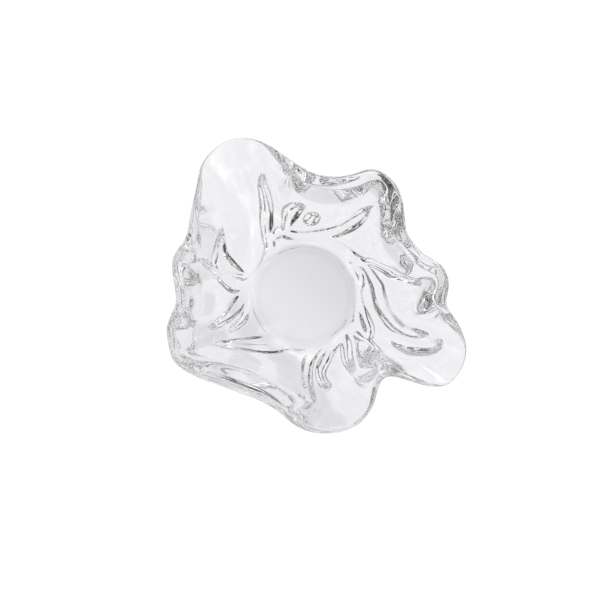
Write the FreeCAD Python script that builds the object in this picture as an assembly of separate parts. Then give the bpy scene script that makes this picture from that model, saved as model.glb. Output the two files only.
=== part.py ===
import FreeCAD, Part
import math
import os

# Free-form bowl of thick clear glass, made from one gather: a flat round floor on a solid foot, seven uneven
# lobes swept out round it, a rounded rim that rises and falls, and ribs on the outside of the wall, which
# swirl from the foot into the lobes. The inside of the wall is smooth.
# Millimetres, +Z up. The origin is the middle of the ground base, on the surface that the bowl stands on.
# +X is to the right and +Y is away from someone who looks down into the bowl from its front.

doc = FreeCAD.newDocument("glass_bowl_model")

sizes = doc.addObject("Spreadsheet::Sheet", "sizes")
SIZES = {
    "half_width": 126.75,       # half of the bowl's width, which the plan of the rim and ribs follows
    "rim_height": 80.0,         # height of the rim at its common level
    "floor_radius": 44.0,       # flat round floor inside
    "floor_blend_width": 6.0,   # the soft turn at the edge of the floor
    "base_radius": 41.0,        # ground flat underneath
    "base_blend_width": 6.0,    # the flat's outermost band
    "foot_height": 7.0,         # how high the wall starts above the table
    "foot_flare": 7.0,          # how far the foot spreads from the flat to the wall
    "wall_thickness": 9.5,      # glass where the wall leaves the foot
    "rim_thickness": 12.0,      # glass at the rim where it is thick
    "rib_height": 7.0,          # how far the tallest rib stands out of the outside
    "rib_half_width": 5.0,      # from the crest of a common rib to the middle of its flank
    "rib_table_gap": 0.6,       # how far the ribs by the foot stay above the table
    "rib_plan_height": 40.0,    # height at which the ribs' plan is true
    "rib_plan_angle": 5.0,      # degrees in front of straight above, from where the ribs' plan is drawn
    "side_angle": 86.0,         # degrees, how the outside stands at a steep part of the rim
    "dish_angle": 53.0,         # degrees, how the inside rises to a steep part of the rim
    "lip_angle": 12.0,          # degrees, how both lean where the rim is an open lip
}
for row, (alias, value) in enumerate(SIZES.items(), start=1):
    sizes.set(f"A{row}", alias)
    sizes.set(f"B{row}", str(value))
    sizes.setAlias(f"B{row}", alias)
doc.recompute()


def size(alias):
    return float(sizes.get(alias))


half_width = size("half_width")

# The rim, anticlockwise from the back left lobe. Each point: x and y as shares of the half width, the
# height as a share of the rim height, how much of an open lip it is, and the thickness as a share.
RIM_SHARES = [
    (-0.407, 1.027, 0.76, 1.00, 0.45), (-0.560, 0.980, 0.76, 1.00, 0.45), (-0.680, 0.840, 0.82, 0.80, 0.50),
    (-0.713, 0.667, 0.90, 0.45, 0.65), (-0.753, 0.440, 0.97, 0.12, 0.80), (-0.780, 0.320, 1.00, 0.05, 0.85),
    (-0.860, 0.200, 0.97, 0.05, 0.80), (-0.847, 0.027, 0.98, 0.10, 0.80),
    (-0.833, -0.093, 1.00, 0.05, 0.80), (-0.893, -0.253, 0.96, 0.15, 0.75),
    (-0.887, -0.333, 0.95, 0.15, 0.75), (-0.847, -0.467, 0.94, 0.20, 0.70),
    (-0.713, -0.560, 0.96, 0.10, 0.75), (-0.527, -0.627, 1.00, 0.00, 0.75),
    (-0.327, -0.707, 1.02, 0.00, 0.75), (-0.180, -0.787, 1.00, 0.00, 0.70),
    (-0.047, -0.893, 0.95, 0.25, 0.65), (0.060, -0.933, 0.90, 0.50, 0.60),
    (0.220, -0.933, 0.86, 0.65, 0.55), (0.353, -0.880, 0.86, 0.70, 0.55), (0.447, -0.773, 0.88, 0.65, 0.55),
    (0.480, -0.667, 0.90, 0.60, 0.55), (0.513, -0.587, 0.91, 0.60, 0.55), (0.593, -0.567, 0.90, 0.65, 0.50),
    (0.700, -0.600, 0.86, 0.75, 0.48), (0.900, -0.640, 0.78, 1.00, 0.42), (1.020, -0.547, 0.76, 1.00, 0.42),
    (1.073, -0.400, 0.78, 0.85, 0.50), (1.047, -0.280, 0.84, 0.55, 0.70), (0.980, -0.173, 0.92, 0.25, 0.85),
    (0.933, -0.093, 0.97, 0.10, 0.95), (0.953, 0.040, 0.98, 0.05, 1.00), (0.913, 0.147, 0.98, 0.00, 1.00),
    (0.793, 0.227, 1.00, 0.00, 1.05), (0.687, 0.347, 1.03, 0.00, 1.10), (0.660, 0.480, 1.02, 0.00, 1.10),
    (0.653, 0.573, 1.00, 0.00, 1.10), (0.607, 0.693, 0.98, 0.00, 1.05), (0.513, 0.780, 0.97, 0.00, 1.05),
    (0.447, 0.800, 0.98, 0.00, 1.05), (0.340, 0.767, 1.00, 0.00, 1.08), (0.207, 0.740, 1.03, 0.00, 1.10),
    (0.060, 0.767, 1.02, 0.00, 1.05), (-0.060, 0.840, 0.98, 0.05, 0.95), (-0.167, 0.920, 0.90, 0.35, 0.75),
    (-0.260, 0.987, 0.82, 0.75, 0.55),
]

# The ribs, each a line of points: x and y as shares of the half width, then the rib's half width there as a
# share of the common one, and its height as a share of the tallest.
RIB_SHARES = {
    "back left": [(-.23, .30, 0.8, 0.5), (-.25, .38, 0.8, 0.9), (-.25, .48, 0.9, 1), (-.24, .58, 1, 1),
        (-.25, .66, 0.9, 1), (-.27, .73, 0.6, 0.8), (-.26, .82, 0.4, 0)],
    "back, short": [(-.12, .43, 0.7, 0.6), (-.10, .51, 0.7, 0.8), (-.07, .58, 0.9, 1),
        (-.02, .64, 0.8, 0.9), (.05, .68, 0.4, 0)],
    "back, drop": [(.03, .52, 0.5, 0), (.05, .55, 0.9, 0.9), (.08, .59, 0.9, 0.9), (.11, .63, 0.5, 0)],
    "back, long": [(-.24, .36, 0.8, 0.7), (-.16, .42, 0.9, 0.8), (-.04, .40, 1, 0.9), (.07, .41, 1.1, 1),
        (.21, .45, 1.2, 1), (.34, .51, 1.2, 1), (.44, .57, 0.9, 1), (.51, .62, 0.4, 0.2)],
    "back right, by the foot": [(.04, .38, 0.8, 0.6), (.14, .36, 1, 0.8), (.24, .31, 1.2, 0.8),
        (.34, .25, 1.1, 0.8), (.44, .21, 0.9, 0.9)],
    "right, short": [(.42, .20, 0.8, 0.8), (.51, .23, 0.6, 0.9), (.59, .21, 0.6, 1), (.69, .16, 0.6, 1),
        (.79, .10, 0.6, 0.9), (.84, .07, 0.4, 0.3)],
    "right, long": [(.41, .23, 0.8, 0.8), (.47, .18, 1, 0.9), (.52, .08, 1.2, 1), (.55, -.04, 1.2, 1),
        (.61, -.15, 1.2, 1), (.67, -.23, 1.1, 1), (.76, -.27, 0.8, 1), (.86, -.28, 0.3, 0)],
    "right, leaf": [(.58, -.32, 0.3, 0), (.67, -.34, 1.1, 1), (.77, -.35, 1.2, 1), (.86, -.34, 0.9, 0.9),
        (.93, -.31, 0.3, 0)],
    "right, by the foot": [(.37, .18, 0.8, 0.8), (.41, .11, 0.7, 0.9), (.38, .01, 0.7, 0.8),
        (.39, -.07, 0.7, 0.8), (.42, -.16, 0.8, 0.8), (.45, -.26, 0.8, 0.8), (.43, -.34, 0.8, 0.6)],
    "right, by the floor": [(.32, .16, 0.5, 0.5), (.35, .04, 0.5, 0.6), (.34, -.07, 0.5, 0.6),
        (.33, -.19, 0.5, 0.5)],
    "front right, inner": [(.28, -.32, 0.7, 0.4), (.31, -.39, 0.7, 1), (.33, -.47, 0.7, 1),
        (.37, -.55, 0.5, 0)],
    "front right": [(.36, -.30, 0.7, 0.6), (.41, -.36, 0.9, 1), (.45, -.44, 0.9, 1), (.44, -.52, 0.8, 0.8),
        (.37, -.57, 0.4, 0)],
    "front, curl": [(.28, -.32, 0.8, 0.6), (.21, -.37, 0.8, 0.9), (.15, -.47, 0.8, 1),
        (.11, -.56, 0.8, 0.9), (.14, -.64, 0.7, 0.8), (.19, -.66, 0.4, 0)],
    "front": [(.21, -.35, 0.8, 0.6), (.11, -.37, 0.9, 0.8), (.04, -.46, 0.9, 0.9), (.01, -.56, 0.9, 0.9),
        (.00, -.66, 0.8, 0.8), (.06, -.76, 0.5, 0)],
    "front left, long": [(-.69, -.38, 0.3, 0), (-.56, -.40, 0.8, 0.8), (-.39, -.41, 1.1, 0.9),
        (-.24, -.40, 1, 0.9), (-.11, -.37, 0.8, 0.8), (.02, -.38, 0.7, 0.7), (.12, -.37, 0.7, 0.6)],
    "front left, upper": [(-.20, -.32, 0.8, 0.7), (-.33, -.34, 0.6, 0.7), (-.46, -.36, 0.5, 0.6),
        (-.61, -.37, 0.3, 0)],
    "left, by the foot": [(-.39, .03, 0.9, 0.9), (-.33, -.06, 1.1, 1), (-.27, -.17, 1.1, 0.9),
        (-.21, -.29, 0.9, 0.8), (-.09, -.36, 0.7, 0.6)],
    "left, low": [(-.39, .03, 0.9, 0.9), (-.46, -.07, 1.1, 1), (-.55, -.15, 1.1, 1),
        (-.63, -.21, 0.7, 0.9), (-.71, -.27, 0.3, 0)],
    "left, low, second": [(-.38, -.07, 0.6, 0.5), (-.43, -.17, 0.7, 0.9), (-.49, -.23, 0.6, 0.8),
        (-.56, -.29, 0.3, 0)],
    "back left, round end": [(-.23, .34, 0.8, 0.8), (-.26, .22, 0.9, 0.9), (-.32, .11, 1, 0.9),
        (-.42, .05, 1, 1), (-.53, .11, 1.1, 1), (-.61, .20, 1.1, 1), (-.63, .31, 0.8, 1),
        (-.61, .43, 0.4, 0.1)],
    "front left, bank": [(-.86, -.42, 0.8, 0.1), (-.74, -.49, 1.5, 0.3), (-.59, -.53, 1.8, 0.45),
        (-.43, -.57, 1.8, 0.45), (-.24, -.64, 1.5, 0.3), (-.09, -.74, 0.8, 0.1)],
    "left, high": [(-.42, .04, 0.9, 0.9), (-.51, .03, 0.9, 0.9), (-.60, .09, 0.9, 0.9),
        (-.66, .18, 0.8, 0.8), (-.74, .26, 0.6, 0)],
}

COLUMNS = 180               # rows of poles go up the wall in this many columns round the bowl
ROWS_UP = 44                # poles up the outside
ROWS_DOWN = 16              # poles down the inside
NOSE_TURNS = (-60.0, -30.0, 0.0, 30.0, 60.0)    # degrees round the nose of the rim, from outside to inside
FULL_TURN = 2 * math.pi

# An upright section has two guide lines, OUT for the outside and IN for the inside, which meet in the rim.
# Each leaves the foot at an angle in degrees above level and runs straight for a share of its span at each
# of its ends. The first number of a pair is for a steep rim and the second for an open lip.
OUT, IN = -1, 1
LEAVE_ANGLES = (9.0, 16.0)
STEEP_NAMES = {OUT: "side_angle", IN: "dish_angle"}
START_SHARES = {OUT: (0.54, 0.36), IN: (0.32, 0.36)}
END_SHARES = {OUT: (0.58, 0.43), IN: (0.36, 0.43)}
BLEND_SHARES = (1.0, 0.5, 0.15)                 # where the three rows of a flat's edge lie in its blend
FOOT_SHARES = ((0.20, 0.08), (0.45, 0.40), (0.72, 0.78))    # the foot's side: shares of its flare and height
SWELL_SHARE = 0.55                              # how far up a guide line the rim's thickness comes in
FLANK_POWER = 3                                 # 2 gives a rib round flanks, more gives it steeper ones
FADE_SHARES = (0.08, 0.85)                      # ribs are whole above the first and fade out from the second
START_RIB_SHARE = 0.7                           # what there is of a rib where the wall leaves the foot
FOOT_RIB_SHARES = (0.05, 0.25, 0.50)            # what there is of a rib on the foot's side
RIM_RIB_SHARE = 0.3                             # what is left of a rib at the rim
NOSE_SHARE = 1.03                               # the rim's poles stand out so that its curve is full
SLANT_LIMIT = 2.2                               # a rim that runs towards the axis is set in no further


def mix(steep, lip, share):
    return steep + (lip - steep) * share


def soft(t):
    t = max(0.0, min(1.0, t))
    return t * t * (3 - 2 * t)


def rim_table():
    table = []
    for x_share, y_share, height_share, lip_share, thick_share in RIM_SHARES:
        x, y = x_share * half_width, y_share * half_width
        table.append((math.atan2(y, x) % FULL_TURN, math.hypot(x, y), height_share, lip_share, thick_share))
    return sorted(table)


RIM = rim_table()


def rim_at(bearing):
    """Reach, height share, lip share and thickness share of the rim at a bearing."""
    bearing %= FULL_TURN
    count = len(RIM)
    at = sum(1 for point in RIM if point[0] <= bearing) - 1

    def angle(i):
        return RIM[i % count][0] + FULL_TURN * (i // count)

    step = angle(at + 1) - angle(at)
    t = (bearing - angle(at)) / step
    found = []
    for k in (1, 2, 3, 4):
        before, here, after, beyond = (RIM[(at + i) % count][k] for i in (-1, 0, 1, 2))
        slope_here = (after - before) / (angle(at + 1) - angle(at - 1)) * step
        slope_after = (beyond - here) / (angle(at + 2) - angle(at)) * step
        found.append((2 * t**3 - 3 * t**2 + 1) * here + (t**3 - 2 * t**2 + t) * slope_here
                     + (3 * t**2 - 2 * t**3) * after + (t**3 - t**2) * slope_after)
    found[2] = max(0.0, min(1.0, found[2]))
    return found


def rib_line(point_shares, pieces=5):
    """A rib as a smooth line through its points: x, y and half width as lengths, and the height share."""
    points = [(x * half_width, y * half_width, wide * size("rib_half_width"), high)
              for x, y, wide, high in point_shares]
    points = [points[0]] + points + [points[-1]]
    line = []
    for a, b, c, d in zip(points, points[1:], points[2:], points[3:]):
        for i in range(pieces):
            t = i / pieces
            line.append(tuple(0.5 * (2 * q + (r - p) * t + (2 * p - 5 * q + 4 * r - s) * t * t
                                     + (3 * q - p - 3 * r + s) * t**3)
                              for p, q, r, s in zip(a, b, c, d)))
    return line + [points[-1]]


RIBS = [rib_line(points) for points in RIB_SHARES.values()]


def rib_share(x, y, z):
    """How far the ribs stand out at a place, as a share of the tallest."""
    y += math.tan(math.radians(size("rib_plan_angle"))) * (z - size("rib_plan_height"))
    total = 0.0
    for line in RIBS:
        near = 3 * size("rib_half_width")
        if not (min(p[0] for p in line) - near < x < max(p[0] for p in line) + near
                and min(p[1] for p in line) - near < y < max(p[1] for p in line) + near):
            continue
        best = 0.0
        for (ax, ay, a_wide, a_high), (bx, by, b_wide, b_high) in zip(line, line[1:]):
            dx, dy = bx - ax, by - ay
            t = max(0.0, min(1.0, ((x - ax) * dx + (y - ay) * dy) / (dx * dx + dy * dy)))
            away = math.hypot(x - ax - t * dx, y - ay - t * dy)
            flank = math.exp(-(away / mix(a_wide, b_wide, t)) ** FLANK_POWER)
            best = max(best, mix(a_high, b_high, t) * flank)
        total = (total**3 + best**3) ** (1 / 3)
    return total


def stand_out(share, here):
    """How far a share of the ribs stands out at a place, which leaves them clear of the table."""
    stand = share * size("rib_height") * rib_share(*here)
    room = max(0.0, here[2] - size("rib_table_gap"))
    return stand * room / (stand**4 + room**4) ** 0.25 if room else 0.0


def guide_line(bearing, side):
    """The four points of one side's guide line, as reach and height, and half the glass at the rim."""
    reach, height_share, lip, thick_share = rim_at(bearing)
    half = size("rim_thickness") * thick_share / 2
    turn = FULL_TURN / COLUMNS / 2
    slope = (rim_at(bearing + turn)[0] - rim_at(bearing - turn)[0]) / (2 * turn * reach)
    inset = half * min(SLANT_LIMIT, math.hypot(1.0, slope))
    lean = math.radians(mix(size(STEEP_NAMES[side]), size("lip_angle"), lip))
    leave = math.radians(mix(*LEAVE_ANGLES, lip))
    start = (size("base_radius") + size("foot_flare"), size("foot_height") + size("wall_thickness") / 2)
    end = (reach - inset, size("rim_height") * height_share - half)
    span = math.hypot(end[0] - start[0], end[1] - start[1])
    first, second = mix(*START_SHARES[side], lip) * span, mix(*END_SHARES[side], lip) * span
    return (start, (start[0] + math.cos(leave) * first, start[1] + math.sin(leave) * first),
            (end[0] - math.cos(lean) * second, end[1] - math.sin(lean) * second), end), half


def bezier(points, t):
    s = 1 - t
    weights = (s**3, 3 * s * s * t, 3 * s * t * t, t**3)
    return tuple(sum(w * p[k] for w, p in zip(weights, points)) for k in (0, 1))


def guide_net(rows, side):
    """Places on one side's guide surface, column by column from foot to rim, and half the glass at the rim."""
    places, halves = [], []
    for column in range(COLUMNS):
        bearing = FULL_TURN * column / COLUMNS
        line, half = guide_line(bearing, side)
        halves.append(half)
        places.append([])
        for row in range(rows + 1):
            r, z = bezier(line, row / rows)
            places[-1].append((r * math.cos(bearing), r * math.sin(bearing), z))
    return places, halves


def less(a, b):
    return tuple(p - q for p, q in zip(a, b))


def plus(a, *steps):
    return tuple(a[k] + sum(length * direction[k] for length, direction in steps) for k in (0, 1, 2))


def cross(a, b):
    return (a[1] * b[2] - a[2] * b[1], a[2] * b[0] - a[0] * b[2], a[0] * b[1] - a[1] * b[0])


def unit(a):
    length = math.sqrt(sum(p * p for p in a))
    return tuple(p / length for p in a)


def face_rows(rows, side):
    """One face of the wall, set off square to its guide surface, with the ribs if it is the outside."""
    places, halves = guide_net(rows, side)
    face, edges = [], []
    for column in range(COLUMNS):
        line = []
        for row in range(1, rows + 1):
            share = row / rows
            here = places[column][row]
            round_the_bowl = less(places[(column + 1) % COLUMNS][row], places[column - 1][row])
            up_the_wall = less(places[column][min(rows, row + 1)], places[column][row - 1])
            inwards = unit(cross(round_the_bowl, up_the_wall))
            if inwards[2] < 0:
                inwards = tuple(-p for p in inwards)
            swell = soft((share - SWELL_SHARE) / (1 - SWELL_SHARE))
            half = mix(size("wall_thickness") / 2, halves[column], swell)
            if side == OUT:
                held = mix(START_RIB_SHARE, 1.0, soft(share / FADE_SHARES[0]))
                held *= mix(1.0, RIM_RIB_SHARE, soft((share - FADE_SHARES[1]) / (1 - FADE_SHARES[1])))
                half += stand_out(held, plus(here, (-half, inwards)))
            line.append(plus(here, (side * half, inwards)))
        face.append(line)
        edges.append((here, inwards, unit(cross(unit(round_the_bowl), inwards)), halves[column]))
    return face, edges


def ring(radius, height, bearing):
    return radius * math.cos(bearing), radius * math.sin(bearing), height


def poles():
    """The net of poles, column by column: base edge, foot, outside, nose of the rim, inside, floor edge."""
    outside, edges = face_rows(ROWS_UP, OUT)
    inside, _ = face_rows(ROWS_DOWN, IN)
    floor = size("foot_height") + size("wall_thickness")
    net = []
    for column in range(COLUMNS):
        bearing = FULL_TURN * column / COLUMNS
        middle, inwards, along, half = edges[column]
        if along[0] * middle[0] + along[1] * middle[1] < 0:
            along = tuple(-p for p in along)
        line = [ring(size("base_radius") - share * size("base_blend_width"), 0.0, bearing)
                for share in BLEND_SHARES]
        for (out, up), held in zip(FOOT_SHARES, FOOT_RIB_SHARES):
            here = ring(size("base_radius") + out * size("foot_flare"), up * size("foot_height"), bearing)
            line.append(plus(here, (stand_out(held, here), (math.cos(bearing), math.sin(bearing), 0.0))))
        line += outside[column]
        for turn in NOSE_TURNS:
            c, s = math.cos(math.radians(turn)), math.sin(math.radians(turn))
            line.append(plus(middle, (NOSE_SHARE * half * c, along), (NOSE_SHARE * half * s, inwards)))
        line += reversed(inside[column])
        line += [ring(size("floor_radius") - share * size("floor_blend_width"), floor, bearing)
                 for share in reversed(BLEND_SHARES)]
        net.append(line)
    return net


def glass_skin(net):
    """One smooth surface of the wall, from the edge of the base over the rim to the edge of the floor."""
    rows = len(net[0])
    surface = Part.BSplineSurface()
    surface.buildFromPolesMultsKnots([[FreeCAD.Vector(*pole) for pole in line] for line in net],
                                     [1] * (len(net) + 1), [4] + [1] * (rows - 4) + [4],
                                     list(range(len(net) + 1)), list(range(rows - 2)), True, False, 3, 3)
    return surface.toShape()


wall = glass_skin(poles())
flats = []
for edge in wall.Edges:
    box = edge.BoundBox
    if box.ZLength < 1e-6 * half_width and box.XLength > half_width / 10:
        flats.append(Part.Face(Part.Wire([edge])))
shell = Part.makeShell([wall] + flats)
shell.sewShape()
glass = Part.makeSolid(Part.Shell(shell.Faces))
if glass.Volume < 0:
    glass.reverse()

glass_bowl = doc.addObject("Part::Feature", "glass_bowl")
glass_bowl.Label = "glass_bowl"
glass_bowl.Shape = glass
glass_bowl.Placement = FreeCAD.Placement(FreeCAD.Vector(0, 0, 0), FreeCAD.Rotation())
doc.recompute()

PARTS = [glass_bowl]

for item in doc.Objects:
    if "Invalid" in item.State or "Error" in item.State:
        raise SystemExit(f"{item.Label} failed: {item.State}")
for part in PARTS:
    if part.Shape.isNull() or not part.Shape.isValid() or len(part.Shape.Solids) != 1:
        raise SystemExit(f"{part.Label} is not one valid solid")

os.makedirs("parts", exist_ok=True)
for part in PARTS:
    part.Shape.exportStep(f"parts/{part.Label}.step")
    box = part.Shape.BoundBox
    print(f"{part.Label}: {box.XLength:.1f} x {box.YLength:.1f} x {box.ZLength:.1f} mm,"
          f" {part.Shape.Volume / 1000:.0f} cm3, faces {len(part.Shape.Faces)}")
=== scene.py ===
# %% [markdown]
# # A free-form bowl of thick clear glass
#
# The real object is one gather of clear crystal glass. While it was hot it sank over a flat plate, and its
# edge was pulled out into seven uneven lobes. The inside is a smooth dish. The outside stands nearly
# upright, and ribs swirl over it from the foot into the lobes, where the hot glass folded together. From
# above, the bowl shows hardly any surface of its own: what the eye sees as drawing is light that the ribs
# and the thick rim bend away from the white paper below.
#
# We start by loading the measured model. Our own, finer bowl is going to stand exactly where its bowl
# stands.

# %% Load the frame
import math

import bpy
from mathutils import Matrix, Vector, noise


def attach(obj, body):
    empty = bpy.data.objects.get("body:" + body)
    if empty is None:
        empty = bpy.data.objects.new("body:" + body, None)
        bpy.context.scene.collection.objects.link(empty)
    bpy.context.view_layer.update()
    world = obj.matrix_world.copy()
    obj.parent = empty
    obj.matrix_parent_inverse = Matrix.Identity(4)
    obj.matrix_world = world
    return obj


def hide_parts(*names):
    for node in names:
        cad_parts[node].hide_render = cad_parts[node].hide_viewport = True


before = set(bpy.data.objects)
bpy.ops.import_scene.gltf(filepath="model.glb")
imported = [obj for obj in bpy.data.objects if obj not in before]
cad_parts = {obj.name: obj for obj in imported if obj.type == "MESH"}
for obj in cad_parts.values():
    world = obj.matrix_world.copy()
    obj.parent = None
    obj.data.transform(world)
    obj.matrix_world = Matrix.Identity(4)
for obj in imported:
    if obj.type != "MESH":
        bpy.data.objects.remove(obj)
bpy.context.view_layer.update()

# %% [markdown]
# ## Small helpers
#
# Colours are picked as sRGB hex values, the way a paint program shows them, and `colour` turns them into
# the linear values that a renderer adds up. `add_node` adds one shader node with its settings and its
# links. `only` selects one object, because an operator in Blender acts on all that is selected.

# %% Colours, nodes and the selection
def colour(code):
    """The linear colour of an sRGB hex value such as #f4f4f6."""
    parts = [int(code[i:i + 2], 16) / 255 for i in (1, 3, 5)]
    return tuple(p / 12.92 if p <= 0.04045 else ((p + 0.055) / 1.055) ** 2.4 for p in parts) + (1.0,)


def add_node(tree, kind, settings=None, inputs=None, links=None):
    """Add a node: settings are its own properties, inputs are values and links are sockets to join."""
    node = tree.nodes.new(kind)
    for name, value in (settings or {}).items():
        setattr(node, name, value)
    for name, value in (inputs or {}).items():
        node.inputs[name].default_value = value
    for name, socket in (links or {}).items():
        tree.links.new(socket, node.inputs[name])
    return node


def only(obj):
    """Select one object and nothing else."""
    bpy.ops.object.select_all(action="DESELECT")
    obj.select_set(True)
    bpy.context.view_layer.objects.active = obj


print("a mid grey of #808080 is", round(colour("#808080")[0], 3), "in linear light")

# %% [markdown]
# ## The bowl's sizes
#
# The bowl follows from a few real sizes, in metres, and two tables of shares. `RIM` goes round the rim
# anticlockwise: where each point lies in plan, how high it stands, how far the wall lies over as an open
# lip (1) or stands steep (0), and how thick the glass is. Shares keep a table free of units: a larger bowl
# needs a larger `HALF_WIDTH`, and not one number of the table changes.

# %% Sizes and the rim
HALF_WIDTH = 0.12675
RIM_HEIGHT = 0.080
FLOOR_RADIUS, FLOOR_BLEND = 0.044, 0.006
BASE_RADIUS, BASE_BLEND = 0.041, 0.006
FOOT_HEIGHT, FOOT_FLARE = 0.007, 0.007
WALL, THICK_RIM = 0.0095, 0.012
SIDE, DISH, LIP = math.radians(86), math.radians(53), math.radians(12)

RIM = [
    (-0.407, 1.027, 0.76, 1.00, 0.45), (-0.560, 0.980, 0.76, 1.00, 0.45), (-0.680, 0.840, 0.82, 0.80, 0.50),
    (-0.713, 0.667, 0.90, 0.45, 0.65), (-0.753, 0.440, 0.97, 0.12, 0.80), (-0.780, 0.320, 1.00, 0.05, 0.85),
    (-0.860, 0.200, 0.97, 0.05, 0.80), (-0.847, 0.027, 0.98, 0.10, 0.80),
    (-0.833, -0.093, 1.00, 0.05, 0.80), (-0.893, -0.253, 0.96, 0.15, 0.75),
    (-0.887, -0.333, 0.95, 0.15, 0.75), (-0.847, -0.467, 0.94, 0.20, 0.70),
    (-0.713, -0.560, 0.96, 0.10, 0.75), (-0.527, -0.627, 1.00, 0.00, 0.75),
    (-0.327, -0.707, 1.02, 0.00, 0.75), (-0.180, -0.787, 1.00, 0.00, 0.70),
    (-0.047, -0.893, 0.95, 0.25, 0.65), (0.060, -0.933, 0.90, 0.50, 0.60),
    (0.220, -0.933, 0.86, 0.65, 0.55), (0.353, -0.880, 0.86, 0.70, 0.55), (0.447, -0.773, 0.88, 0.65, 0.55),
    (0.480, -0.667, 0.90, 0.60, 0.55), (0.513, -0.587, 0.91, 0.60, 0.55), (0.593, -0.567, 0.90, 0.65, 0.50),
    (0.700, -0.600, 0.86, 0.75, 0.48), (0.900, -0.640, 0.78, 1.00, 0.42), (1.020, -0.547, 0.76, 1.00, 0.42),
    (1.073, -0.400, 0.78, 0.85, 0.50), (1.047, -0.280, 0.84, 0.55, 0.70), (0.980, -0.173, 0.92, 0.25, 0.85),
    (0.933, -0.093, 0.97, 0.10, 0.95), (0.953, 0.040, 0.98, 0.05, 1.00), (0.913, 0.147, 0.98, 0.00, 1.00),
    (0.793, 0.227, 1.00, 0.00, 1.05), (0.687, 0.347, 1.03, 0.00, 1.10), (0.660, 0.480, 1.02, 0.00, 1.10),
    (0.653, 0.573, 1.00, 0.00, 1.10), (0.607, 0.693, 0.98, 0.00, 1.05), (0.513, 0.780, 0.97, 0.00, 1.05),
    (0.447, 0.800, 0.98, 0.00, 1.05), (0.340, 0.767, 1.00, 0.00, 1.08), (0.207, 0.740, 1.03, 0.00, 1.10),
    (0.060, 0.767, 1.02, 0.00, 1.05), (-0.060, 0.840, 0.98, 0.05, 0.95), (-0.167, 0.920, 0.90, 0.35, 0.75),
    (-0.260, 0.987, 0.82, 0.75, 0.55),
]
TURN = 2 * math.pi
BY_BEARING = sorted((math.atan2(y, x) % TURN, math.hypot(x, y) * HALF_WIDTH, height, lip, thick)
                    for x, y, height, lip, thick in RIM)
print("the rim has", len(RIM), "points and reaches", round(1000 * max(p[1] for p in BY_BEARING)), "mm out")

# %% [markdown]
# ## One upright section
#
# Cut the bowl from its axis outwards and two curves show. The inside rises to the rim like a dish. The
# outside runs out low over the table and then turns up sharply into a nearly upright side, so the glass is
# thickest in that turn. Where the rim is an open lip, both lie over and the glass gets thin. Each curve is
# a Bezier curve from the foot to the rim. `LEAVE`, `STARTS` and `ENDS` shape it, with one value for a steep
# rim and one for a lip.
#
# This form matters more than any material here: the crisp line round the clear middle of the bowl is the
# place where we stop looking through the low bottom and start looking into the upright side, which
# reflects everything from within.

# %% The rim at a bearing, and the guide lines of a section
def mix(a, b, share):
    """The value that lies a share of the way from a to b."""
    return a + (b - a) * share


def soft(t):
    """A share that leaves 0 and reaches 1 without a corner."""
    t = max(0.0, min(1.0, t))
    return t * t * (3 - 2 * t)


def rim_at(bearing):
    """Reach, height share, lip share and thickness share of the rim, smooth between the table's points."""
    bearing %= TURN
    count = len(BY_BEARING)
    at = sum(1 for p in BY_BEARING if p[0] <= bearing) - 1
    angles = [BY_BEARING[(at + i) % count][0] + TURN * ((at + i) // count) for i in (-1, 0, 1, 2)]
    step = angles[2] - angles[1]
    t = (bearing - angles[1]) / step
    found = []
    for k in (1, 2, 3, 4):
        a, b, c, d = (BY_BEARING[(at + i) % count][k] for i in (-1, 0, 1, 2))
        slope_b = (c - a) / (angles[2] - angles[0]) * step
        slope_c = (d - b) / (angles[3] - angles[1]) * step
        found.append((2 * t**3 - 3 * t**2 + 1) * b + (t**3 - 2 * t**2 + t) * slope_b
                     + (3 * t**2 - 2 * t**3) * c + (t**3 - t**2) * slope_c)
    found[2] = max(0.0, min(1.0, found[2]))
    return found


OUT, IN = -1, 1
STEEP = {OUT: SIDE, IN: DISH}
LEAVE = (9, 16)                                     # degrees above level, at the foot
STARTS = {OUT: (0.54, 0.36), IN: (0.32, 0.36)}      # pull along that direction, as a share of the span
ENDS = {OUT: (0.58, 0.43), IN: (0.36, 0.43)}        # pull along the direction at the rim
BESIDE = 0.0175                                     # radians, about one degree to each side
LONGEST_SLANT = 2.2     # a rim slantwise to the ray is wider along it, up to this many times


def guide_line(bearing, side):
    """The four points of one side's guide line, as reach and height, and half the glass at the rim."""
    reach, height, lip, thick = rim_at(bearing)
    half = THICK_RIM * thick / 2
    slope = (rim_at(bearing + BESIDE)[0] - rim_at(bearing - BESIDE)[0]) / (2 * BESIDE * reach)
    end = Vector((reach - half * min(LONGEST_SLANT, math.hypot(1, slope)), RIM_HEIGHT * height - half))
    start = Vector((BASE_RADIUS + FOOT_FLARE, FOOT_HEIGHT + WALL / 2))
    span = (end - start).length
    leave, lean = math.radians(mix(*LEAVE, lip)), mix(STEEP[side], LIP, lip)
    second = start + Vector((math.cos(leave), math.sin(leave))) * span * mix(*STARTS[side], lip)
    third = end - Vector((math.cos(lean), math.sin(lean))) * span * mix(*ENDS[side], lip)
    return (start, second, third, end), half


for name, degrees in (("back right corner", 50), ("back left lip", 113)):
    points, half = guide_line(math.radians(degrees), OUT)
    print(name, "reaches", round(1000 * points[3].x), "mm, with", round(2000 * half, 1), "mm of glass")

# %% [markdown]
# ## The cage
#
# The mesh starts as it would by hand: a circle a little smaller than the base, whose edge is extruded row by
# row, out along the foot, up the outside, over the rim and down the inside to the floor. The two flats have
# three rows close together at their edges, which keep the turn there tight when the mesh is subdivided.

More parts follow.
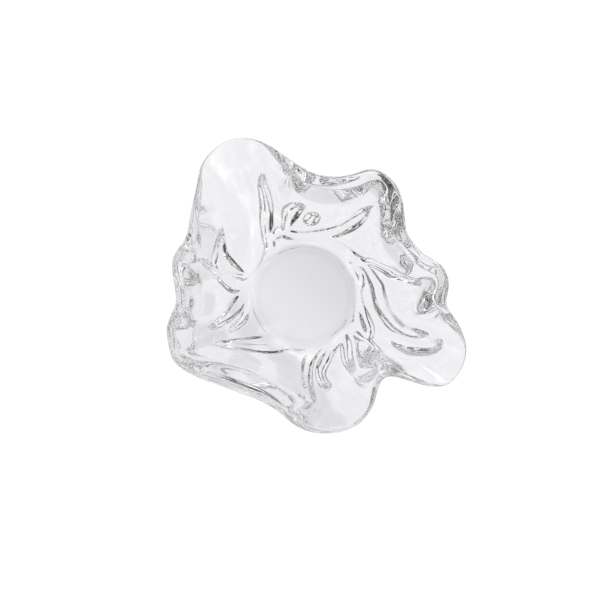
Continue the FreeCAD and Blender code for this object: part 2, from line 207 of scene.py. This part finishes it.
# %% Extrude the rows from a circle
COLUMNS, OUTSIDE_ROWS, INSIDE_ROWS = 128, 26, 4
FLAT_EDGE = (1, 0.5, 0.15)                                  # rows inside a flat's edge, shares of its blend
FOOT_SIDE = ((0.20, 0.08), (0.45, 0.40), (0.72, 0.78))      # rows on the foot: shares of flare and height
NOSE = [math.radians(a) for a in (-60, -30, 0, 30, 60)]     # rows round the rim, from outside to inside
FIRST_STEP = WALL / 8                                       # holds the new rows apart until they are placed
FIRST_WALL_ROW = len(FLAT_EDGE) + len(FOOT_SIDE)
ROWS = FIRST_WALL_ROW + OUTSIDE_ROWS + len(NOSE) + INSIDE_ROWS + len(FLAT_EDGE)

bpy.ops.object.select_all(action="DESELECT")
bpy.ops.mesh.primitive_circle_add(vertices=COLUMNS, radius=BASE_RADIUS - BASE_BLEND, fill_type="NOTHING")
bowl = bpy.context.object
bowl.name = bowl.data.name = "free_form_glass_bowl"
mesh = bowl.data
bpy.ops.object.mode_set(mode="EDIT")
bpy.ops.mesh.select_all(action="SELECT")
for row in range(1, ROWS):
    bpy.ops.mesh.extrude_edges_move(TRANSFORM_OT_translate={"value": (0, 0, FIRST_STEP)})
bpy.ops.object.mode_set(mode="OBJECT")
print("cage:", len(mesh.vertices), "points,", len(mesh.polygons), "faces")

# %% [markdown]
# Each extruded ring keeps the order of the one before, so point `row * COLUMNS + column` is known. Now every
# row moves to its place in the sections, which no operator can know. The faces of the wall are set off
# square to their guide surfaces by half the glass, and the rows of the rim go round its nose.

# %% Move the rows to their places
UP = Vector((0, 0, 1))
RIM_GLASS_FROM = 0.55       # how far up the wall the rim's own thickness starts to come in
NOSE_FULLNESS = 1.03        # subdividing draws the nose of the rim in a little, so it starts out fuller


def guide_net(rows, side):
    """Places on one side's guide surface, column by column from the foot up, and half the rim's glass."""
    net, halves = [], []
    for column in range(COLUMNS):
        bearing = TURN * column / COLUMNS
        (a, b, c, d), half = guide_line(bearing, side)
        halves.append(half)
        net.append([])
        for row in range(rows + 1):
            t = row / rows
            flat = a * (1 - t)**3 + b * 3 * t * (1 - t)**2 + c * 3 * t * t * (1 - t) + d * t**3
            net[-1].append(Vector((flat.x * math.cos(bearing), flat.x * math.sin(bearing), flat.y)))
    return net, halves


def inwards_at(net, column, row):
    """The direction square to a guide surface, towards the inside of the bowl, and the one up the wall."""
    round_the_bowl = net[(column + 1) % COLUMNS][row] - net[column - 1][row]
    up_the_wall = net[column][min(len(net[column]) - 1, row + 1)] - net[column][row - 1]
    inwards = round_the_bowl.cross(up_the_wall).normalized()
    inwards *= 1 if inwards.z > 0 else -1
    along = round_the_bowl.cross(inwards).normalized()
    here = net[column][row]
    return inwards, along * (1 if along.x * here.x + along.y * here.y > 0 else -1)


def face_rows(net, halves, column, side):
    """One face of the wall in one column, from the foot to the rim."""
    places, last = [], len(net[column]) - 1
    for row in range(1, last + 1):
        at_rim = soft((row / last - RIM_GLASS_FROM) / (1 - RIM_GLASS_FROM))
        half_glass = mix(WALL / 2, halves[column], at_rim)
        places.append(net[column][row] + inwards_at(net, column, row)[0] * side * half_glass)
    return places


out_net, halves = guide_net(OUTSIDE_ROWS, OUT)
in_net, _ = guide_net(INSIDE_ROWS, IN)
for column in range(COLUMNS):
    bearing = TURN * column / COLUMNS
    ray = Vector((math.cos(bearing), math.sin(bearing), 0))
    rows = [ray * (BASE_RADIUS - share * BASE_BLEND) for share in FLAT_EDGE]
    rows += [ray * (BASE_RADIUS + out * FOOT_FLARE) + UP * up * FOOT_HEIGHT for out, up in FOOT_SIDE]
    rows += face_rows(out_net, halves, column, OUT)
    inwards, along = inwards_at(out_net, column, OUTSIDE_ROWS)
    nose = halves[column] * NOSE_FULLNESS
    rows += [out_net[column][-1] + (along * math.cos(a) + inwards * math.sin(a)) * nose for a in NOSE]
    rows += reversed(face_rows(in_net, halves, column, IN))
    floor_height = UP * (FOOT_HEIGHT + WALL)
    rows += [ray * (FLOOR_RADIUS - share * FLOOR_BLEND) + floor_height for share in reversed(FLAT_EDGE)]
    for row, place in enumerate(rows):
        mesh.vertices[row * COLUMNS + column].co = place
print("rows placed:", len(rows), "of", ROWS)

# %% [markdown]
# ## The skin
#
# A Subdivision Surface turns the cage into the smooth skin that glass gets from the fire. A vertex group
# goes in first. The modifier carries its weights along, so that afterwards every point knows how much of a
# rib it may carry: none under the base, little on the foot, all on the wall, a little at the rim.

# %% Mark the outside and subdivide
FOOT_WEIGHTS, START_WEIGHT, RIM_WEIGHTS = (0.05, 0.25, 0.5), 0.7, (0.3, 0.3, 0.2)
WHOLE_FROM, FADES_FROM = 0.08, 0.85         # shares of the way up the wall

weights = dict(enumerate(FOOT_WEIGHTS, start=len(FLAT_EDGE)))
for row in range(1, OUTSIDE_ROWS + 1):
    share = row / OUTSIDE_ROWS
    rising = mix(START_WEIGHT, 1, soft(share / WHOLE_FROM))
    fading = mix(1, RIM_WEIGHTS[0], soft((share - FADES_FROM) / (1 - FADES_FROM)))
    weights[FIRST_WALL_ROW + row - 1] = rising * fading
weights.update(enumerate(RIM_WEIGHTS, start=FIRST_WALL_ROW + OUTSIDE_ROWS))
held = bowl.vertex_groups.new(name="ribs")
for row, weight in weights.items():
    held.add([row * COLUMNS + column for column in range(COLUMNS)], weight, "REPLACE")
only(bowl)
skin = bowl.modifiers.new("smooth skin", "SUBSURF")
skin.levels = skin.render_levels = 2
bpy.ops.object.modifier_apply(modifier=skin.name)
print("skin:", len(mesh.polygons), "faces")

# %% [markdown]
# ## The ribs
#
# Each rib is a line in plan, as it looks from above. Every point of it gives its place as shares of
# `HALF_WIDTH`, then its half width and height as shares of the common ones, so a rib can swell to a leaf
# and run out to a point. Most flanks stand steeper than 42 degrees. Past that angle glass sends back all the
# light that meets it from below, and so such a rib shows as two dark lines with a bright core between them.
# Four narrow ribs lie along others and deepen one side of them to the darkest strokes.

# %% The ribs' lines
RIB_HEIGHT, RIB_HALF_WIDTH = 0.007, 0.005
RIB_REACH = 3               # points farther than this many half widths from a rib's box stay unmoved by it

RIBS = {
    "back left": [(-.23, .30, 0.8, 0.5), (-.25, .38, 0.8, 0.9), (-.25, .48, 0.9, 1), (-.24, .58, 1, 1),
        (-.25, .66, 0.9, 1), (-.27, .73, 0.6, 0.8), (-.26, .82, 0.4, 0)],
    "back, short": [(-.12, .43, 0.7, 0.6), (-.10, .51, 0.7, 0.8), (-.07, .58, 0.9, 1),
        (-.02, .64, 0.8, 0.9), (.05, .68, 0.4, 0)],
    "back, drop": [(.03, .52, 0.5, 0), (.05, .55, 0.9, 0.9), (.08, .59, 0.9, 0.9), (.11, .63, 0.5, 0)],
    "back, long": [(-.24, .36, 0.8, 0.7), (-.16, .42, 0.9, 0.8), (-.04, .40, 1, 0.9), (.07, .41, 1.1, 1),
        (.21, .45, 1.2, 1), (.34, .51, 1.2, 1), (.44, .57, 0.9, 1), (.51, .62, 0.4, 0.2)],
    "back right, by the foot": [(.04, .38, 0.9, 0.9), (.14, .36, 1.1, 1.1), (.24, .31, 1.3, 1.1),
        (.34, .25, 1.2, 1.1), (.44, .21, 0.9, 1)],
    "right, short": [(.42, .20, 0.8, 0.8), (.51, .23, 0.6, 0.9), (.59, .21, 0.6, 1), (.69, .16, 0.6, 1),
        (.79, .10, 0.6, 0.9), (.84, .07, 0.4, 0.3)],
    "right, long": [(.41, .23, 0.8, 0.8), (.47, .18, 1, 0.9), (.52, .08, 1.2, 1), (.55, -.04, 1.2, 1),
        (.61, -.15, 1.2, 1), (.67, -.23, 1.1, 1), (.76, -.27, 0.8, 1), (.86, -.28, 0.3, 0)],
    "right, leaf": [(.58, -.32, 0.3, 0), (.67, -.34, 1.1, 1), (.77, -.35, 1.2, 1), (.86, -.34, 0.9, 0.9),
        (.93, -.31, 0.3, 0)],
    "right, by the foot": [(.37, .18, 0.8, 0.8), (.41, .11, 0.7, 0.9), (.38, .01, 0.7, 0.8),
        (.39, -.07, 0.7, 0.8), (.42, -.16, 0.8, 0.8), (.45, -.26, 0.8, 0.8), (.43, -.34, 0.8, 0.6)],
    "right, by the floor": [(.32, .16, 0.5, 0.5), (.35, .04, 0.5, 0.6), (.34, -.07, 0.5, 0.6),
        (.33, -.19, 0.5, 0.5)],
    "front right, inner": [(.28, -.32, 0.7, 0.4), (.31, -.39, 0.7, 1), (.33, -.47, 0.7, 1),
        (.37, -.55, 0.5, 0)],
    "front right": [(.36, -.30, 0.7, 0.6), (.41, -.36, 0.9, 1), (.45, -.44, 0.9, 1), (.44, -.52, 0.8, 0.8),
        (.37, -.57, 0.4, 0)],
    "front, curl": [(.28, -.32, 0.8, 0.6), (.21, -.37, 0.8, 0.9), (.15, -.47, 0.8, 1),
        (.11, -.56, 0.8, 0.9), (.14, -.64, 0.7, 0.8), (.19, -.66, 0.4, 0)],
    "front": [(.21, -.35, 0.8, 0.6), (.11, -.37, 0.9, 0.8), (.04, -.46, 0.9, 0.9), (.01, -.56, 0.9, 0.9),
        (.00, -.66, 0.8, 0.8), (.06, -.76, 0.5, 0)],
    "front left, long": [(-.69, -.38, 0.3, 0), (-.56, -.40, 0.8, 0.8), (-.39, -.41, 1.1, 0.9),
        (-.24, -.40, 1, 0.9), (-.11, -.37, 0.8, 0.8), (.02, -.38, 0.7, 0.7), (.12, -.37, 0.7, 0.6)],
    "front left, upper": [(-.20, -.32, 0.8, 0.7), (-.33, -.34, 0.6, 0.7), (-.46, -.36, 0.5, 0.6),
        (-.61, -.37, 0.3, 0)],
    "left, by the foot": [(-.39, .03, 0.9, 1), (-.33, -.06, 1.1, 1.2), (-.27, -.17, 1.2, 1.2),
        (-.21, -.29, 1, 1.1), (-.09, -.36, 0.7, 0.8)],
    "left, low": [(-.39, .03, 0.9, 0.9), (-.46, -.07, 1.1, 1), (-.55, -.15, 1.1, 1),
        (-.63, -.21, 0.7, 0.9), (-.71, -.27, 0.3, 0)],
    "left, low, second": [(-.38, -.07, 0.6, 0.5), (-.43, -.17, 0.7, 0.9), (-.49, -.23, 0.6, 0.8),
        (-.56, -.29, 0.3, 0)],
    "back left, round end": [(-.23, .34, 0.8, 0.8), (-.26, .22, 0.9, 0.9), (-.32, .11, 1, 0.9),
        (-.42, .05, 1, 1), (-.53, .11, 1.1, 1), (-.61, .20, 1.1, 1), (-.63, .31, 0.8, 1),
        (-.61, .43, 0.4, 0.1)],
    "back left, slit": [(-.62, .33, 0.5, 0.2), (-.60, .26, 0.8, 0.7), (-.55, .21, 0.9, 0.8),
        (-.48, .16, 0.8, 0.7), (-.41, .13, 0.4, 0.2)],
    "back, tip": [(.28, .52, 0.5, 0.2), (.36, .55, 0.8, 0.7), (.43, .59, 0.8, 0.8), (.52, .63, 0.4, 0.2)],
    "right, dark side": [(.50, .06, 0.5, 0.2), (.54, -.06, 0.8, 0.7), (.61, -.18, 0.8, 0.8),
        (.71, -.26, 0.8, 0.7), (.85, -.29, 0.4, 0.1)],
    "front right, slit": [(.39, -.30, 0.4, 0.1), (.43, -.36, 0.7, 0.8), (.45, -.43, 0.7, 0.8),
        (.46, -.49, 0.4, 0.1)],
    "front left, bank": [(-.86, -.42, 0.8, 0.1), (-.74, -.49, 1.5, 0.3), (-.59, -.53, 1.8, 0.45),
        (-.43, -.57, 1.8, 0.45), (-.24, -.64, 1.5, 0.3), (-.09, -.74, 0.8, 0.1)],
    "left, high": [(-.42, .04, 0.9, 0.9), (-.51, .03, 0.9, 0.9), (-.60, .09, 0.9, 0.9),
        (-.66, .18, 0.8, 0.8), (-.74, .26, 0.6, 0)],
}


def smooth_line(points, pieces=5):
    """A smooth line through a rib's points, in short pieces: place in plan, half width and height."""
    p = [Vector((x * HALF_WIDTH, y * HALF_WIDTH, wide * RIB_HALF_WIDTH, high * RIB_HEIGHT))
         for x, y, wide, high in [points[0]] + points + [points[-1]]]
    line = []
    for a, b, c, d in zip(p, p[1:], p[2:], p[3:]):
        for t in (i / pieces for i in range(pieces)):
            line.append(0.5 * (2 * b + (c - a) * t + (2 * a - 5 * b + 4 * c - d) * t * t
                               + (3 * b - a - 3 * c + d) * t**3))
    return line + [p[-1]]


lines = []
for points in RIBS.values():
    line, near = smooth_line(points), RIB_REACH * RIB_HALF_WIDTH
    lines.append((line, min(p.x for p in line) - near, max(p.x for p in line) + near,
                  min(p.y for p in line) - near, max(p.y for p in line) + near))
print(len(lines), "ribs of", sum(len(line[0]) for line in lines), "short pieces")

# %% [markdown]
# Now every point of the outside moves out along its normal by the height of the ribs there. Where ribs
# meet, the taller one wins softly, as melted glass would join. It is what a sculpting brush does, only with
# each stroke written down. A rib has a core on a low, wide swell, because hot glass never folds without
# drawing its neighbourhood along. The core's flanks are round, and a round flank needs a taller crest to
# stand steep enough, which `CORE_SHARE` gives it. `DRIFT` moves the lines a little to and fro, so that no
# flank is as even as a pencil line. It is random, but with a fixed seed, so every run makes the same bowl.
# The plan is true at `PLAN_HEIGHT`, and leans by as much as the view does. Near the foot the ribs stay
# clear of the table.
#
# A slow, shallow wave goes on the upright sides too, since no fire-polished side is quite true. It is what
# breaks the reflections in the rim into patches. The lying lobes have none and stay clear.

# %% Stand the ribs out
CORE_SHARE, FLANK_POWER = 1.3, 2.0
SWELL_SHARE, SWELL_WIDTH = 0.15, 2.4
DRIFT, DRIFT_LENGTH, DRIFT_SEED = 0.0016, 0.034, 1
PLAN_LEAN, PLAN_HEIGHT = math.tan(math.radians(5)), 0.040
TABLE_GAP = 0.0006
WAVE_HEIGHT, WAVE_LENGTH = 0.0003, 0.028
WAVE_FROM, WAVE_FADE = 0.006, 0.010         # the height it starts at, and the height it takes to come in
UPRIGHT_RANGE = 0.3                         # how far the normal's z is below 1 where the wave is whole
LEAST_WEIGHT = 0.001
JOIN_POWER, TABLE_POWER = 3, 4              # the higher the power, the harder the corner where two meet


def rib_height(x, y):
    """How far the ribs stand out at a place in plan."""
    total = 0.0
    for line, left, right, front, back in lines:
        if not (left < x < right and front < y < back):
            continue
        best = 0.0
        for a, b in zip(line, line[1:]):
            dx, dy = b.x - a.x, b.y - a.y
            t = max(0.0, min(1.0, ((x - a.x) * dx + (y - a.y) * dy) / (dx * dx + dy * dy)))
            away = math.hypot(x - a.x - dx * t, y - a.y - dy * t)
            high, wide = mix(a.w, b.w, t), mix(a.z, b.z, t)
            core = CORE_SHARE * math.exp(-(away / wide)**FLANK_POWER)
            swell = SWELL_SHARE * math.exp(-(away / wide / SWELL_WIDTH)**2)
            best = max(best, high * (core + swell))
        total = (total**JOIN_POWER + best**JOIN_POWER)**(1 / JOIN_POWER)
    return total


noise.seed_set(DRIFT_SEED)
group = bowl.vertex_groups["ribs"].index
moved = {}
for v in mesh.vertices:
    weight = sum(g.weight for g in v.groups if g.group == group)
    if weight > LEAST_WEIGHT:
        drift = noise.noise_vector(v.co / DRIFT_LENGTH) * DRIFT
        lean = PLAN_LEAN * (v.co.z - PLAN_HEIGHT)
        stand = weight * rib_height(v.co.x + drift.x, v.co.y + drift.y + lean)
        room = max(0.0, v.co.z - TABLE_GAP)
        if room > 0:
            stand *= room / (stand**TABLE_POWER + room**TABLE_POWER)**(1 / TABLE_POWER)
        upright = soft((1 - abs(v.normal.z)) / UPRIGHT_RANGE)
        above_foot = soft((v.co.z - WAVE_FROM) / WAVE_FADE)
        wave = noise.noise(v.co / WAVE_LENGTH) * WAVE_HEIGHT * upright * above_foot
        moved[v.index] = v.co + v.normal * (stand + wave)
for index, place in moved.items():
    mesh.vertices[index].co = place
mesh.update()
print("points moved:", len(moved))

# %% [markdown]
# The flanks are only a few points wide, so they come out a little stepped. One stroke of smoothing in edit
# mode takes the steps away, as the fire does on the real bowl, and hardly lowers the ribs.

# %% Fire polish
for v in mesh.vertices:
    v.select = v.index in moved
bpy.ops.object.mode_set(mode="EDIT")
bpy.ops.mesh.select_mode(type="VERT")
bpy.ops.mesh.vertices_smooth(factor=0.5, repeat=1)
bpy.ops.object.mode_set(mode="OBJECT")
print("tallest point after smoothing, mm:", round(1000 * max(v.co.z for v in mesh.vertices), 1))

# %% [markdown]
# The two open circles, under the base and in the middle of the floor, are closed with one face each. One is
# ground flat and the other settled flat on the real bowl, so a flat face is right.

# %% Close the base and the floor
bpy.ops.object.mode_set(mode="EDIT")
bpy.ops.mesh.select_mode(type="EDGE")
bpy.ops.mesh.select_all(action="DESELECT")
bpy.ops.mesh.select_non_manifold()
bpy.ops.mesh.edge_face_add()
bpy.ops.mesh.select_all(action="SELECT")
bpy.ops.mesh.normals_make_consistent(inside=False)
bpy.ops.object.mode_set(mode="OBJECT")
only(bowl)
bpy.ops.object.shade_smooth()
bowl.vertex_groups.clear()
print("faces:", len(mesh.polygons), "largest corner count:", max(len(p.vertices) for p in mesh.polygons))

# %% [markdown]
# ## Its place in the frame
#
# The bowl has no moving part, so it rides on the root body, and it stands for the measured solid.

# %% Put it on the frame
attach(bowl, "root")
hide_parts("glass_bowl")

# %% [markdown]
# ## The glass
#
# Clear crystal glass has almost no colour of its own and bends light strongly: an index of 1.52. Fire
# polish leaves it as smooth as a liquid, with slight waves some 30 mm long that a finger would not feel.
# Only the base is ground flat and polished again, and fine grinding marks stay there, so it blurs what lies
# under it a little. Both are worked out from Object coordinates, which are real metres here.

# %% Glass
glass = bpy.data.materials.new("polished clear crystal glass")
glass.use_nodes = True
tree = glass.node_tree
shader = tree.nodes["Principled BSDF"]
shader.inputs["Base Color"].default_value = colour("#fdfefe")
shader.inputs["Transmission Weight"].default_value = 1.0
shader.inputs["IOR"].default_value = 1.52

POLISH_WAVE, POLISH_DEPTH = 0.030, 0.00002
MARK_SPACING, GROUND_TO, GROUND_ROUGHNESS = 0.0012, 0.0004, 0.06
place = add_node(tree, "ShaderNodeTexCoord")
waves = add_node(tree, "ShaderNodeTexNoise", None, {"Scale": 1 / POLISH_WAVE, "Detail": 1.0},
                 {"Vector": place.outputs["Object"]})
polish = add_node(tree, "ShaderNodeBump", None, {"Strength": 1.0, "Distance": POLISH_DEPTH},
                  {"Height": waves.outputs["Fac"]})
height = add_node(tree, "ShaderNodeSeparateXYZ", None, None, {"Vector": place.outputs["Object"]})
marks = add_node(tree, "ShaderNodeTexNoise", None, {"Scale": 1 / MARK_SPACING, "Detail": 2.0},
                 {"Vector": place.outputs["Object"]})
ground = add_node(tree, "ShaderNodeMapRange", None,
                  {"From Min": 0.0, "From Max": GROUND_TO, "To Min": GROUND_ROUGHNESS, "To Max": 0.0},
                  {"Value": height.outputs["Z"]})
roughness = add_node(tree, "ShaderNodeMath", {"operation": "MULTIPLY"}, None,
                     {0: ground.outputs["Result"], 1: marks.outputs["Fac"]})
tree.links.new(polish.outputs["Normal"], shader.inputs["Normal"])
tree.links.new(roughness.outputs[0], shader.inputs["Roughness"])
mesh.materials.clear()
mesh.materials.append(glass)
print("glass: waves of", round(1000 * POLISH_WAVE), "mm and", round(1e6 * POLISH_DEPTH), "micrometres")

# %% [markdown]
# ## The paper under the bowl
#
# Glass is drawn by what stands round it. A photographer sets it on white paper between white softboxes with
# dark gaps left between them, because glass that saw only white would vanish. The camera sees the paper
# white, with a faint shadow. Rays that have been through the glass see a paper whose light and shade are
# painted into its glow: a painted shadow, darker under the base where the bowl would shade it, a painted
# ring of light, brighter out where the lamps would reach, and painted shade falling off far away. The
# painted light comes mostly from the back right, so to the front left the paper is painted a little dimmer,
# with soft painted patches of shade there that stand for what the glass would throw.

# %% Floor
PAPER, PAPER_SIZE = "#fbfafd", 6
# painted shadow of the bowl: the paper under the base is painted darker, most at the back right
PAINTED_SHADOW_UNDER_BASE, BESIDE_BASE = (0.74, 0.92), 0.96        # under the base: at the back right and at the front left
# painted light and shade: a brighter ring round the bowl, and the paper falling off darker far away
PAINTED_RING_GLOW, FAR_PAINTED_SHADE = 0.04, 0.15
STEPS = {                                           # distances from the axis, and the value at each of them
    # base: where the painted shadow under the base fades out
    "base": (BASE_RADIUS + 0.004, BASE_RADIUS + 0.010, 0, 1),
    # glow: a painted ring of light out where the lamps would reach
    "glow": (0.8 * HALF_WIDTH, 1.2 * HALF_WIDTH, 0, PAINTED_RING_GLOW),
    # far: painted shade falling off far from the bowl
    "far": (1.3 * HALF_WIDTH, 4 * HALF_WIDTH, 1, FAR_PAINTED_SHADE),
}
# painted shade: the paper dimmer towards the front left, as if lit from the back right
FRONT_LEFT, FRONT_PAINTED_SHADE, PATCHES_FROM = (-0.7, -0.7, 0), 0.93, (0.15, 0.45)
# painted patches of shade on the paper in front, standing for what the glass throws there
PATCH_LENGTH, PATCH_EDGES, PATCH_DEPTH = 0.034, (0.46, 0.52), 0.13
SHADOW_SHARE, WHITE_STRENGTH = 0.12, 1.12

bpy.ops.object.select_all(action="DESELECT")
bpy.ops.mesh.primitive_plane_add(size=PAPER_SIZE)
floor = bpy.context.object
floor.name = "floor"
paper = bpy.data.materials.new("matt white paper")
paper.use_nodes = True
tree = paper.node_tree
tree.nodes.clear()
spot = add_node(tree, "ShaderNodeTexCoord")
away = add_node(tree, "ShaderNodeVectorMath", {"operation": "LENGTH"}, None, {0: spot.outputs["Object"]})
slant = add_node(tree, "ShaderNodeVectorMath", {"operation": "DOT_PRODUCT"}, {1: FRONT_LEFT},
                 {0: spot.outputs["Object"]})
# painted shadow under the base, graded darker towards the back right
painted_base_shadow = add_node(tree, "ShaderNodeMapRange", None,
                 {"From Min": -BASE_RADIUS, "From Max": BASE_RADIUS, "To Min": PAINTED_SHADOW_UNDER_BASE[0],
                  "To Max": PAINTED_SHADOW_UNDER_BASE[1]}, {"Value": slant.outputs["Value"]})
step = {name: add_node(tree, "ShaderNodeMapRange", {"interpolation_type": "SMOOTHSTEP"},
                       {"From Min": start, "From Max": end, "To Min": first, "To Max": last},
                       {"Value": away.outputs["Value"]})
        for name, (start, end, first, last) in STEPS.items()}
# the painted shadow fills the base and fades out to the plain level beside it
near = add_node(tree, "ShaderNodeMix", {"data_type": "FLOAT"}, {3: BESIDE_BASE},
                {0: step["base"].outputs["Result"], 2: painted_base_shadow.outputs["Result"]})
# adds the painted ring of light
lit = add_node(tree, "ShaderNodeMath", {"operation": "ADD"}, None,
               {0: near.outputs[0], 1: step["glow"].outputs["Result"]})
# painted shade: a little dimmer towards the front left
front = add_node(tree, "ShaderNodeMapRange", None,
                 {"From Min": 0.0, "From Max": HALF_WIDTH, "To Min": 1.0, "To Max": FRONT_PAINTED_SHADE},
                 {"Value": slant.outputs["Value"]})
# painted patches of shade, from a soft noise
painted_shade_noise = add_node(tree, "ShaderNodeTexNoise", None, {"Scale": 1 / PATCH_LENGTH, "Detail": 1.0},
                  {"Vector": spot.outputs["Object"]})
painted_shade_patches = add_node(tree, "ShaderNodeMapRange", {"interpolation_type": "SMOOTHSTEP"},
                   {"From Min": PATCH_EDGES[0], "From Max": PATCH_EDGES[1], "To Min": 1 - PATCH_DEPTH,
                    "To Max": 1.0}, {"Value": painted_shade_noise.outputs["Fac"]})
# the painted patches come in only towards the front left
ahead = add_node(tree, "ShaderNodeMapRange", {"interpolation_type": "SMOOTHSTEP"},
                 {"From Min": PATCHES_FROM[0] * HALF_WIDTH, "From Max": PATCHES_FROM[1] * HALF_WIDTH},
                 {"Value": slant.outputs["Value"]})
# mixes the painted patches of shade in where they come in
patchy_painted_shade = add_node(tree, "ShaderNodeMix", {"data_type": "FLOAT"}, {2: 1.0},
                  {0: ahead.outputs["Result"], 3: painted_shade_patches.outputs["Result"]})
dimmed = add_node(tree, "ShaderNodeMath", {"operation": "MULTIPLY"}, None,
                  {0: front.outputs["Result"], 1: patchy_painted_shade.outputs[0]})
# painted shade falling off far away
fall = add_node(tree, "ShaderNodeMath", {"operation": "MULTIPLY"}, None,
                {0: dimmed.outputs[0], 1: step["far"].outputs["Result"]})
level = add_node(tree, "ShaderNodeMath", {"operation": "MULTIPLY"}, None,
                 {0: lit.outputs[0], 1: fall.outputs[0]})
# the paper seen in the glass glows with all the painted light and shade above
through = add_node(tree, "ShaderNodeEmission", None, {"Color": colour(PAPER)},
                   {"Strength": level.outputs[0]})
matt = add_node(tree, "ShaderNodeBsdfDiffuse", None, {"Color": colour("#e6e6e8")})
white = add_node(tree, "ShaderNodeEmission", None, {"Color": colour("#ffffff"), "Strength": WHITE_STRENGTH})
seen = add_node(tree, "ShaderNodeMixShader", None, {0: SHADOW_SHARE},
                {1: white.outputs[0], 2: matt.outputs[0]})
path = add_node(tree, "ShaderNodeLightPath")
in_glass = add_node(tree, "ShaderNodeMath", {"operation": "MAXIMUM"}, None,
                    {0: path.outputs["Is Glossy Ray"], 1: path.outputs["Is Transmission Ray"]})
bent = add_node(tree, "ShaderNodeMixShader", None, None,
                {0: in_glass.outputs[0], 1: matt.outputs[0], 2: through.outputs[0]})
surface = add_node(tree, "ShaderNodeMixShader", None, None,
                   {0: path.outputs["Is Camera Ray"], 1: bent.outputs[0], 2: seen.outputs[0]})
add_node(tree, "ShaderNodeOutputMaterial", None, None, {"Surface": surface.outputs[0]})
floor.data.materials.append(paper)
print("floor:", floor.name, "with", len(tree.nodes), "nodes")

# %% [markdown]
# ## The studio round it
#
# The world stands for the softboxes and the dark gaps between them. One ramp sets the brightness by height
# above the table, and one soft noise, seen as a map of the room, gives the rest: its low places are dark
# gaps, its middle is lit wall, and its few peaks are the lamps behind the softboxes. The gaps make the dark
# accents on the ribs and in the rim, and the lamps make the sparkle beside them. The room is a little
# lighter to the right and the back. The camera itself sees plain white behind the bowl in side views.

# %% World
BRIGHT_BY_HEIGHT = [(0.0, 0.03), (0.1, 0.2), (0.25, 0.2), (0.45, 0.25), (0.6, 1.0), (0.75, 0.9),
                    (0.88, 0.35), (1.0, 0.25)]
ROOM_SCALE, GAP_EDGES, GAP_TONES = 2.9, (0.42, 0.52), (0.02, 1.1)
LAMP_EDGES, LAMP_STRENGTH = (0.57, 0.70), 2.4
OPEN_SIDE, OPEN_BY = (0.85, 0.53, 0), 0.10

world = bpy.data.worlds.new("studio")
bpy.context.scene.world = world
world.use_nodes = True
tree = world.node_tree
tree.nodes.clear()
sky = add_node(tree, "ShaderNodeTexCoord")
up = add_node(tree, "ShaderNodeSeparateXYZ", None, None, {"Vector": sky.outputs["Generated"]})
ramp = add_node(tree, "ShaderNodeValToRGB", None, None, {"Fac": up.outputs["Z"]})
stops = ramp.color_ramp.elements
while len(stops) < len(BRIGHT_BY_HEIGHT):
    stops.new(0.5)
for stop, (height_share, value) in zip(stops, BRIGHT_BY_HEIGHT):
    stop.position = height_share
    stop.color = (value, value, value, 1)
map_of_room = add_node(tree, "ShaderNodeTexNoise", None, {"Scale": ROOM_SCALE, "Detail": 1.0},
                       {"Vector": sky.outputs["Generated"]})
towards = add_node(tree, "ShaderNodeVectorMath", {"operation": "DOT_PRODUCT"}, {1: OPEN_SIDE},
                   {0: sky.outputs["Generated"]})
room = add_node(tree, "ShaderNodeMath", {"operation": "MULTIPLY_ADD"}, {1: OPEN_BY},
                {0: towards.outputs["Value"], 2: map_of_room.outputs["Fac"]})
gaps = add_node(tree, "ShaderNodeMapRange", {"interpolation_type": "SMOOTHSTEP"},
                {"From Min": GAP_EDGES[0], "From Max": GAP_EDGES[1], "To Min": GAP_TONES[0],
                 "To Max": GAP_TONES[1]}, {"Value": room.outputs[0]})
lamps = add_node(tree, "ShaderNodeMapRange", {"interpolation_type": "SMOOTHSTEP"},
                 {"From Min": LAMP_EDGES[0], "From Max": LAMP_EDGES[1], "To Min": 0.0,
                  "To Max": LAMP_STRENGTH}, {"Value": room.outputs[0]})
light = add_node(tree, "ShaderNodeMath", {"operation": "ADD"}, None,
                 {0: gaps.outputs["Result"], 1: lamps.outputs["Result"]})
studio = add_node(tree, "ShaderNodeBackground", None, None,
                  {"Color": ramp.outputs["Color"], "Strength": light.outputs[0]})
plain = add_node(tree, "ShaderNodeBackground", None, {"Color": colour("#ffffff"), "Strength": 1.0})
path = add_node(tree, "ShaderNodeLightPath")
either = add_node(tree, "ShaderNodeMixShader", None, None,
                  {0: path.outputs["Is Camera Ray"], 1: studio.outputs[0], 2: plain.outputs[0]})
add_node(tree, "ShaderNodeOutputWorld", None, None, {"Surface": either.outputs[0]})
print("world:", len(tree.nodes), "nodes")

# %% [markdown]
# ## The camera
#
# The photograph looks down at 85 degrees, from the front. A long lens far away keeps the outline as flat as
# it is there. Light that gets caught in thick glass bounces many times before it leaves, so the paths are
# allowed to be long, or the rim would go black.

# %% Camera
ELEVATION, DISTANCE = math.radians(85), 1.1
PHOTO_PIXELS, PIXEL, ZOOM = 600, 0.000845, 0.993        # the photograph's width and the size of a pixel
AIM = Vector((-0.0031, -0.0063, 0.04))

camera = bpy.data.objects.new("camera", bpy.data.cameras.new("camera"))
bpy.context.scene.collection.objects.link(camera)
bpy.context.scene.camera = camera
back = Vector((0, -math.cos(ELEVATION), math.sin(ELEVATION)))
camera.location = AIM + back * DISTANCE
camera.rotation_euler = (-back).to_track_quat("-Z", "Y").to_euler()
camera.data.lens = camera.data.sensor_width * DISTANCE / (PHOTO_PIXELS * PIXEL) * ZOOM
bpy.context.scene.view_settings.view_transform = "Standard"
cycles = bpy.context.scene.cycles
cycles.glossy_bounces = 16
cycles.transmission_bounces = 24
cycles.max_bounces = 32
print("lens, mm:", round(camera.data.lens, 1))
